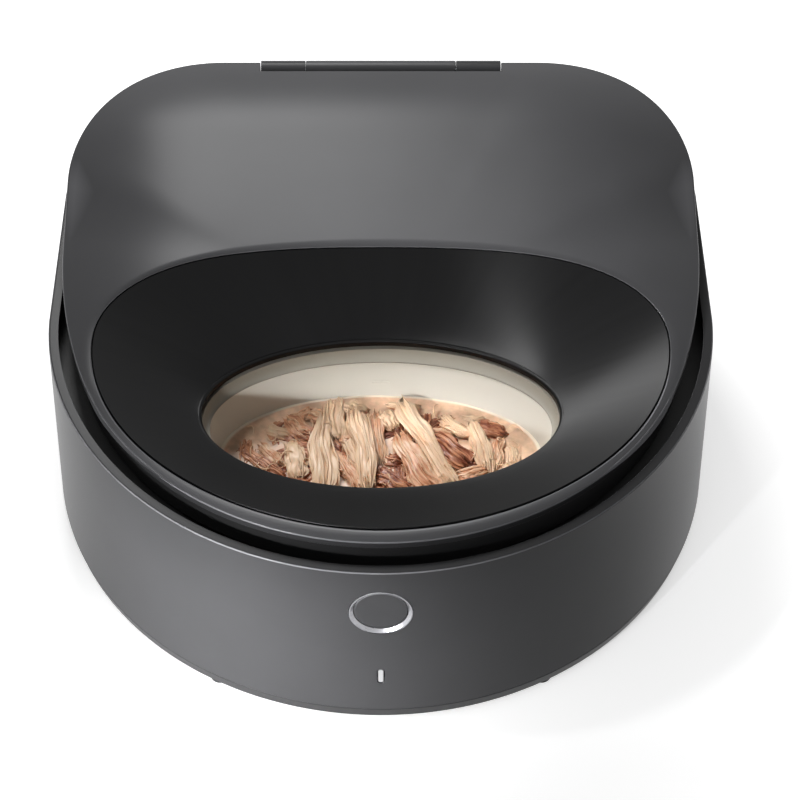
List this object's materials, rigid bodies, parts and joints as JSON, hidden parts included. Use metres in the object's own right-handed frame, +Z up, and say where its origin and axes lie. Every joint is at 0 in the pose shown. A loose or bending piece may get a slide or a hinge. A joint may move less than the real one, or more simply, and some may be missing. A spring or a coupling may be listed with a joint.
{
  "type": "wet food pet feeder",
  "caption": "D-shaped chilled wet food feeder with a turning tray of bowls under a hinged lid, whose dished mouth shows one bowl and closes with a sliding shutter.",
  "frame": {"origin": "on the floor, midway between front and back and between left and right, which is also the centre of the round front", "axes": "+Z up, -Y to the front where the button and the mouth are, +X to the right seen from the front"},
  "size_m": [0.31, 0.31, 0.1368],
  "materials": {
    "body": "satin anthracite with a fine metallic sheen",
    "black_satin": "satin black with streaked highlights",
    "black_plastic": "matt black",
    "grey_plastic": "matt grey",
    "cream": "smooth cream, food safe",
    "taupe": "soft warm grey seal",
    "food": "moist shredded meat in broth",
    "chrome": "polished",
    "steel": "plain",
    "aluminium": "milled",
    "rubber": "matt",
    "foam": "foamed",
    "board": "green solder mask",
    "ceramic": "matt white",
    "light": "clear white light guide",
    "nylon": "natural nylon"
  },
  "bodies": {
    "base": {"outer_shell": "body", "base_plate": "body", "foot_front_left": "rubber", "foot_front_right": "rubber", "foot_back_left": "rubber", "foot_back_right": "rubber", "base_screw_front_left": "steel", "base_screw_front_right": "steel", "base_screw_back_left": "steel", "base_screw_back_right": "steel", "inner_liner": "black_plastic", "insulation_ring": "foam", "cold_plate": "aluminium", "thermoelectric_module": "ceramic", "heat_sink": "aluminium", "fan_frame": "black_plastic", "tray_motor": "steel", "hub_bearing": "nylon", "main_board": "board", "button_board": "board", "button_ring": "chrome", "light_pipe": "light", "dc_jack": "black_plastic", "hinge_pin": "steel", "base_magnet": "steel"},
    "tray": {"food_tray": "cream", "wet_food": "food", "drive_hub": "grey_plastic", "tray_gear": "nylon"},
    "motor_gear": {"motor_pinion": "nylon"},
    "fan": {"fan_rotor": "black_plastic"},
    "lid": {"lid_shell": "body", "dish": "black_satin", "lid_pan": "black_plastic", "window_seal": "taupe", "lid_gasket": "rubber", "lid_magnet": "steel", "left_rail": "black_plastic", "right_rail": "black_plastic", "shutter_motor": "steel"},
    "shutter": {"shutter": "black_plastic"},
    "shutter_gear": {"shutter_pinion": "nylon"},
    "button": {"feed_button": "body"}
  },
  "joints": [
    {"name": "lid_hinge", "type": "hinge", "parent": "base", "child": "lid", "pos_m": [0, 0.1495, 0.1277], "axis": [-1, 0, 0], "range_deg": [0, 95]},
    {"name": "tray_spin", "type": "hinge", "parent": "base", "child": "tray", "pos_m": [0, 0.011, 0.05], "axis": [0, 0, 1], "continuous": true},
    {"name": "motor_spin", "type": "hinge", "parent": "base", "child": "motor_gear", "pos_m": [-0.04511, -0.00542, 0.033], "axis": [0, 0, 1], "continuous": true},
    {"name": "fan_spin", "type": "hinge", "parent": "base", "child": "fan", "pos_m": [0, 0.097, 0.01], "axis": [0, 0, 1], "continuous": true},
    {"name": "shutter_slide", "type": "slide", "parent": "lid", "child": "shutter", "axis": [0, -1, 0], "range_m": [0, 0.0972]},
    {"name": "shutter_gear_spin", "type": "hinge", "parent": "lid", "child": "shutter_gear", "pos_m": [0.09842, 0.03, 0.0985], "axis": [0, 0, 1], "range_deg": [0, 700]},
    {"name": "button_press", "type": "slide", "parent": "base", "child": "button", "axis": [0, 1, 0], "range_m": [0, 0.0015], "stiffness_N_per_m": 400}
  ],
  "couplings": [
    {"joint": "motor_spin", "follows": "tray_spin", "ratio": -3},
    {"joint": "shutter_gear_spin", "follows": "shutter_slide", "rad_per_m": 125}
  ]
}
